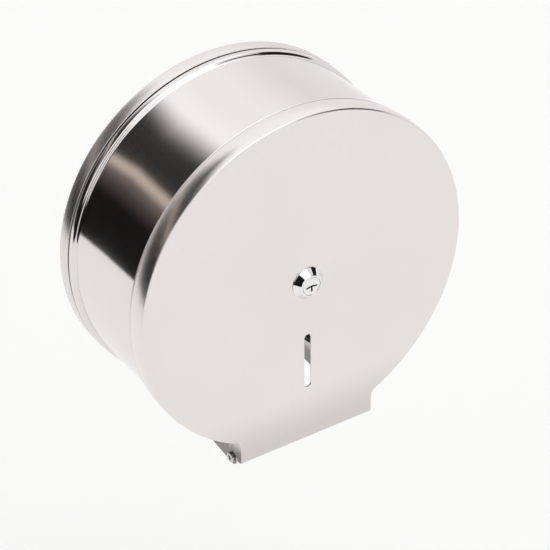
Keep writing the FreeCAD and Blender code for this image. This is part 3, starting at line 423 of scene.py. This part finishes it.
def lock_plug():
    """The turning plug with its three-armed key slot."""
    back = BARREL_BACK - 0.4
    profile = [(PLUG_RADIUS - 0.3, back), (PLUG_RADIUS, back + 0.3), (PLUG_RADIUS, LOCK_FRONT - 0.5)]
    profile += [(PLUG_RADIUS - 0.1, 115.68), (PLUG_RADIUS - 0.35, 115.8)]
    plug = lathe("lock_core_piece", profile)
    past_centre = -0.4
    arm = [(past_centre, -KEY_SLOT_HALF), (KEY_SLOT_LENGTH, -KEY_SLOT_HALF)]
    arm += [(KEY_SLOT_LENGTH, KEY_SLOT_HALF), (past_centre, KEY_SLOT_HALF)]
    cutters = []
    for degrees in KEY_SLOTS:
        turn = math.radians(degrees)
        along, across = math.cos(turn), math.sin(turn)
        corners = [(u * along - v * across, u * across + v * along) for u, v in arm]
        cutters.append(prism_y("key_cutter", corners, KEY_SLOT_FLOOR, THROUGH_FACE[1]))
    return carve(plug, cutters)


def hinge_pin(name, sign):
    """A hinge pin with a rounded, hollow head, on the left (-1) or right (+1) cheek."""
    profile = [(PIN_RADIUS - 0.15, 47.6), (PIN_RADIUS, 47.8), (PIN_RADIUS, CHEEK_HALF)]
    profile += [(3.3, CHEEK_HALF), (3.6, 52.35), (3.7, 52.7), (3.7, 54.0), (3.55, 54.4)]
    profile += [(3.15, 54.58), (2.1, 54.58), (1.75, 54.4), (1.6, 54.0), (1.6, 52.6)]
    pin = lathe(name, profile, steps=64)
    axis = Vector((0.0, -HINGE_DEPTH, -HINGE_DROP)) * MM
    pin.data.transform(Matrix.Translation(axis) @ Matrix.Rotation(sign * math.pi / 2, 4, "Z"))
    return pin


# ---------------------------------------------------------------- materials


class Graph:
    """A node tree, with short ways to add the nodes that the materials and the world share."""

    def __init__(self, owner):
        owner.use_nodes = True
        self.nodes = owner.node_tree.nodes
        self.links = owner.node_tree.links

    def add(self, kind, **settings):
        """A new node of a kind, with its own settings."""
        node = self.nodes.new(kind)
        for name, value in settings.items():
            setattr(node, name, value)
        return node

    def fill(self, node, entries):
        """Joins an output to each named input, or sets the input to a constant."""
        for name, value in entries.items():
            if isinstance(value, bpy.types.NodeSocket):
                self.links.new(value, node.inputs[name])
            else:
                node.inputs[name].default_value = value

    def maths(self, operation, *values):
        """The result of an operation on outputs and constants."""
        node = self.add("ShaderNodeMath", operation=operation)
        self.fill(node, dict(enumerate(values)))
        return node.outputs["Value"]

    def plus(self, first, second):
        """The sum of two values."""
        return self.maths("ADD", first, second)

    def times(self, *values):
        """The product of two or more values."""
        product = values[0]
        for value in values[1:]:
            product = self.maths("MULTIPLY", product, value)
        return product

    def scaled(self, value, factor, constant=0.0):
        """value x factor + constant"""
        return self.maths("MULTIPLY_ADD", value, factor, constant)

    def remap(self, value, low, high, at_low, at_high, interpolation="LINEAR"):
        """A value that runs from one level to another between two bounds."""
        node = self.add("ShaderNodeMapRange", interpolation_type=interpolation)
        self.fill(node, {"Value": value, "From Min": low, "From Max": high})
        self.fill(node, {"To Min": at_low, "To Max": at_high})
        return node.outputs["Result"]

    def ramp(self, value, low, high, at_low=0.0, at_high=1.0):
        """A value that eases from one level to another between two bounds."""
        return self.remap(value, low, high, at_low, at_high, "SMOOTHSTEP")

    def mix(self, factor, first, second):
        """A blend of two colours."""
        node = self.add("ShaderNodeMix", data_type="RGBA")
        self.fill(node, {"Factor": factor, "A": first, "B": second})
        return node.outputs["Result"]

    def split(self, vector):
        """The X, Y and Z outputs of a vector."""
        node = self.add("ShaderNodeSeparateXYZ")
        self.links.new(vector, node.inputs["Vector"])
        return [node.outputs[axis] for axis in ("X", "Y", "Z")]

    def noise(self, place, scale, detail=2.0, roughness=0.5):
        """Soft random patches."""
        node = self.add("ShaderNodeTexNoise")
        self.fill(node, {"Vector": place, "Scale": scale, "Detail": detail, "Roughness": roughness})
        return node.outputs["Fac"]

    def bump(self, height, strength, distance=0.0002):
        """A normal tilted by a height."""
        node = self.add("ShaderNodeBump")
        self.fill(node, {"Height": height, "Strength": strength, "Distance": distance})
        return node.outputs["Normal"]


def new_material(name):
    """A material with its graph, its shader and its texture coordinates."""
    material = bpy.data.materials.new(name)
    graph = Graph(material)
    return material, graph, graph.nodes["Principled BSDF"], graph.add("ShaderNodeTexCoord")


def shades(tone, dark, light):
    """A darker and a lighter version of a tone."""
    return [(*(channel * factor for channel in tone), 1.0) for factor in (dark, light)]


# heights in metres, as the texture coordinates are; they bound the painted shade on the neck
NECK_TOP = -0.085
NECK_FOOT = -0.125
SIDE_TOP = -0.112
SIDE_FOOT = -0.124
SIDE_PAINTED_SHADE = -0.68


def paint_neck_shade(graph, place, colour, shade):
    """Paints shade into a colour: darker down the neck, and darker still on the neck's own sides near its
    foot, where the metal would mirror the shaded ground.
    """
    height = graph.split(place.outputs["Object"])[2]
    sideways = graph.maths("ABSOLUTE", graph.split(place.outputs["Normal"])[0])
    down = graph.ramp(height, NECK_FOOT, NECK_TOP, shade, 1.0)
    near_foot = graph.ramp(height, SIDE_FOOT, SIDE_TOP, 1.0, 0.0)
    side = graph.times(graph.ramp(sideways, 0.8, 0.95), near_foot)
    scale = graph.add("ShaderNodeVectorMath", operation="SCALE")
    graph.fill(scale, {0: colour, "Scale": graph.times(down, graph.scaled(side, SIDE_PAINTED_SHADE, 1.0))})
    return scale.outputs["Vector"]


def brushed_steel(name, tone, roughness, grain, grain_scale, bump, anisotropy=0.0, painted_neck_shade=1.0):
    """Satin stainless: stretched grain in the roughness and height, with faint handling marks, and painted
    shade down the neck when asked for.
    """
    material, graph, shader, place = new_material(name)
    stretch = graph.add("ShaderNodeMapping")
    graph.fill(stretch, {"Vector": place.outputs["Object"], "Scale": grain})
    lines = graph.noise(stretch.outputs["Vector"], grain_scale, detail=6.0, roughness=0.7)
    marks = graph.noise(place.outputs["Object"], 14.0, detail=4.0)
    brushing = graph.remap(lines, 0.3, 0.7, roughness * 0.8, roughness * 1.25)
    colour = graph.mix(marks, *shades(tone, 0.96, 1.03))
    # painted shade: the colour is darkened down the neck and on the neck's sides near its foot
    if painted_neck_shade < 1.0:
        colour = paint_neck_shade(graph, place, colour, painted_neck_shade)
    graph.fill(
        shader,
        {
            "Base Color": colour,
            "Metallic": 1.0,
            "Roughness": graph.maths("MULTIPLY_ADD", marks, roughness * 0.3, brushing),
            "Normal": graph.bump(lines, bump),
        },
    )
    if anisotropy:
        tangent = graph.add("ShaderNodeTangent", direction_type="RADIAL", axis="Y")
        shader.inputs["Anisotropic"].default_value = anisotropy
        shader.inputs["Anisotropic Rotation"].default_value = 0.25
        graph.links.new(tangent.outputs["Tangent"], shader.inputs["Tangent"])
    return material


def plated_metal(name, tone, roughness, scale, bump):
    """Plated or polished fittings: small waviness, tone patches and wear in the roughness."""
    material, graph, shader, place = new_material(name)
    patches = graph.noise(place.outputs["Object"], scale, detail=5.0)
    graph.fill(
        shader,
        {
            "Base Color": graph.mix(patches, *shades(tone, 0.9, 1.06)),
            "Metallic": 1.0,
            "Roughness": graph.remap(patches, 0.3, 0.7, roughness * 0.7, roughness * 1.4),
            "Normal": graph.bump(patches, bump),
        },
    )
    return material


def moulded_plastic(name, tone):
    """A moulded part with a fine spark-eroded texture."""
    material, graph, shader, place = new_material(name)
    texture = graph.noise(place.outputs["Object"], 1800.0, detail=3.0)
    cloud = graph.noise(place.outputs["Object"], 30.0)
    graph.fill(
        shader,
        {
            "Base Color": graph.mix(cloud, *shades(tone, 0.9, 1.1)),
            "Roughness": graph.remap(cloud, 0.0, 1.0, 0.38, 0.55),
            "Normal": graph.bump(texture, 0.15, distance=0.0001),
        },
    )
    return material


STEEL_TONE = (0.765, 0.738, 0.722)
FACE_TONE = (0.805, 0.77, 0.75)
# the face and wall steels carry painted shade down the neck and on its sides near the foot
face_steel = brushed_steel(
    "face_steel", FACE_TONE, 0.2, grain=(1.0, 1.0, 0.03), grain_scale=2600.0, bump=0.06, painted_neck_shade=0.80
)
wall_steel = brushed_steel(
    "wall_steel",
    STEEL_TONE,
    0.085,
    grain=(0.25, 6.0, 0.25),
    grain_scale=260.0,
    bump=0.03,
    anisotropy=0.5,
    painted_neck_shade=0.88,
)
pan_steel = brushed_steel(
    "pan_steel", STEEL_TONE, 0.24, grain=(0.05, 6.0, 0.05), grain_scale=260.0, bump=0.05, anisotropy=0.5
)
chrome = plated_metal("chrome", (0.86, 0.86, 0.86), 0.05, 120.0, 0.01)
zinc = plated_metal("zinc", (0.6, 0.588, 0.57), 0.3, 90.0, 0.12)
fastener = plated_metal("fastener", (0.5, 0.49, 0.48), 0.26, 240.0, 0.1)
plastic = moulded_plastic("plastic", (0.66, 0.66, 0.64))

BY_SLOT = {
    "stainless": pan_steel,
    "lock_chrome": chrome,
    "zinc_plate": zinc,
    "fastener_steel": fastener,
    "hub_plastic": plastic,
}


def paint(item, material):
    """Gives an object one material all over."""
    item.data.materials.clear()
    item.data.materials.append(material)


# ---------------------------------------------------------------- the object

node_slot = {part["node"]: part["material_slot"] for part in frame["record"]["subparts"]}
for name, item in frame["nodes"].items():
    paint(item, BY_SLOT[node_slot[name]])
paint(frame["nodes"]["tear_bar_rivets"], wall_steel)

for piece, node, body, material in (
    (front_cover(), "front_cover", "cover", face_steel),
    (drum_shell(), "drum_shell", "housing", wall_steel),
    (base_pan(), "base_pan", "housing", pan_steel),
    (lock_housing(), "lock_housing", "cover", chrome),
    (lock_plug(), "lock_plug", "lock_core", chrome),
    (hinge_pin("pin_left", -1), "hinge_pin_left", "housing", zinc),
    (hinge_pin("pin_right", 1), "hinge_pin_right", "housing", zinc),
):
    paint(piece, material)
    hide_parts(node)
    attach(piece, body)


# ---------------------------------------------------------------- studio

FLOOR_DEPTH = 0.6
FLOOR_REACH = 2.34
FLOOR_COLOUR = (0.95, 0.948, 0.945, 1.0)


def lay_floor():
    """A plain pale disc under the object."""
    bm = bmesh.new()
    bmesh.ops.create_circle(bm, cap_ends=True, radius=FLOOR_REACH, segments=96)
    mesh = bpy.data.meshes.new("floor")
    bm.to_mesh(mesh)
    bm.free()
    floor = bpy.data.objects.new("floor", mesh)
    floor.location.z = -FLOOR_DEPTH
    bpy.context.scene.collection.objects.link(floor)
    material = bpy.data.materials.new("floor")
    graph = Graph(material)
    shader = graph.nodes["Principled BSDF"]
    graph.fill(shader, {"Base Color": FLOOR_COLOUR, "Roughness": 0.9, "Specular IOR Level": 0.0})
    mesh.materials.append(material)
    return floor


lay_floor()

# The dark end of the studio, by height: black at the foot, a warm band, and dark grey above.
DARK_END = [
    (0.0, (0.005, 0.005, 0.005)),
    (0.10, (0.007, 0.006, 0.006)),
    (0.16, (0.032, 0.027, 0.027)),
    (0.23, (0.080, 0.068, 0.062)),
    (0.30, (0.19, 0.16, 0.145)),
    (0.345, (0.66, 0.57, 0.50)),
    (0.370, (0.62, 0.54, 0.47)),
    (0.405, (0.040, 0.036, 0.034)),
    (0.50, (0.034, 0.034, 0.034)),
]
DARK_OBJECT = (0.012, 0.011, 0.011, 1.0)
BACKDROP = (1.0, 1.0, 1.0, 1.0)


def studio_world():
    """Soft light all round, with a dark end of the studio behind the drum's left shoulder."""
    world = bpy.data.worlds.new("studio")
    graph = Graph(world)
    across, into, height = graph.split(graph.add("ShaderNodeTexCoord").outputs["Generated"])
    bearing = graph.maths("ARCTAN2", across, into)
    leaning = graph.plus(bearing, graph.scaled(height, -0.364, 0.218))
    right_edge = graph.ramp(leaning, math.radians(-23.5), math.radians(-5.5), 1.0, 0.0)
    left_edge = graph.ramp(bearing, math.radians(-92), math.radians(-72))
    in_dark_end = graph.times(right_edge, left_edge, graph.ramp(height, 0.70, 0.85, 1.0, 0.0))
    bands = graph.add("ShaderNodeValToRGB")
    elements = bands.color_ramp.elements
    while len(elements) < len(DARK_END):
        elements.new(0.5)
    for element, (position, colour) in zip(elements, DARK_END):
        element.position = position
        element.color = (*colour, 1.0)
    graph.links.new(height, bands.inputs["Fac"])
    brighter_up = graph.ramp(height, 0.30, 0.64, 0.99, 1.18)
    glow = graph.times(brighter_up, graph.ramp(across, -0.15, 0.15, 1.0, 0.92))
    overhead = graph.add("ShaderNodeCombineColor")
    graph.fill(overhead, {"Red": glow, "Green": glow, "Blue": glow})
    light = graph.mix(in_dark_end, overhead.outputs["Color"], bands.outputs["Color"])

    # Three dark objects stand in the room: a panel and a low bench at the camera's left, and a disc high
    # up on its right.
    panel = graph.times(
        graph.ramp(into, -0.74, -0.70),
        graph.ramp(into, -0.50, -0.44, 1.0, 0.0),
        graph.ramp(across, -0.46, -0.41, 1.0, 0.0),
        graph.ramp(height, -0.20, -0.15),
        graph.ramp(height, 0.62, 0.68, 1.0, 0.0),
    )
    towards_disc = graph.plus(
        graph.plus(graph.scaled(across, 0.69), graph.scaled(into, -0.41)), graph.scaled(height, 0.60)
    )
    disc = graph.ramp(towards_disc, 0.897, 0.912)
    below_bench_top = graph.ramp(height, 0.06, 0.20, 1.0, 0.0)
    bench = graph.times(graph.ramp(across, -0.72, -0.62, 1.0, 0.0), below_bench_top)
    objects = graph.plus(graph.times(panel, graph.scaled(bench, -1.0, 1.0)), graph.plus(disc, bench))
    room = graph.mix(objects, light, DARK_OBJECT)

    # The camera itself sees a plain white backdrop behind the object.
    seen = graph.mix(graph.add("ShaderNodeLightPath").outputs["Is Camera Ray"], room, BACKDROP)
    graph.links.new(seen, graph.nodes["Background"].inputs["Color"])
    bpy.context.scene.world = world


studio_world()

key = bpy.data.lights.new("key", "SUN")
key.energy = 0.65
key.angle = math.radians(60)
key_item = bpy.data.objects.new("key", key)
key_item.rotation_euler = (math.radians(20), math.radians(15), 0)
bpy.context.scene.collection.objects.link(key_item)

CAMERA_AZIMUTH = math.radians(-32.339)
CAMERA_ELEVATION = math.radians(33.934)
CAMERA_ROLL = math.radians(-0.685)
CAMERA_TARGET = Vector((8.236, -58.0, -26.651)) * MM
CAMERA_DISTANCE = 1324.683 * MM
CAMERA_LENS = 126.4

away = Vector(
    (
        math.sin(CAMERA_AZIMUTH) * math.cos(CAMERA_ELEVATION),
        -math.cos(CAMERA_AZIMUTH) * math.cos(CAMERA_ELEVATION),
        math.sin(CAMERA_ELEVATION),
    )
)
level_right = (-away).cross(Vector((0, 0, 1))).normalized()
level_up = away.cross(level_right).normalized()
right = math.cos(CAMERA_ROLL) * level_right + math.sin(CAMERA_ROLL) * level_up
up = math.cos(CAMERA_ROLL) * level_up - math.sin(CAMERA_ROLL) * level_right
lens = bpy.data.cameras.new("camera")
lens.sensor_width = 36.0
lens.lens = CAMERA_LENS
lens.clip_start = 0.05
lens.clip_end = 20.0
camera = bpy.data.objects.new("camera", lens)
turn = Matrix((right, up, away)).transposed().to_4x4()
camera.matrix_world = Matrix.Translation(CAMERA_TARGET + away * CAMERA_DISTANCE) @ turn
bpy.context.scene.collection.objects.link(camera)
bpy.context.scene.camera = camera

bpy.context.scene.view_settings.view_transform = "Standard"
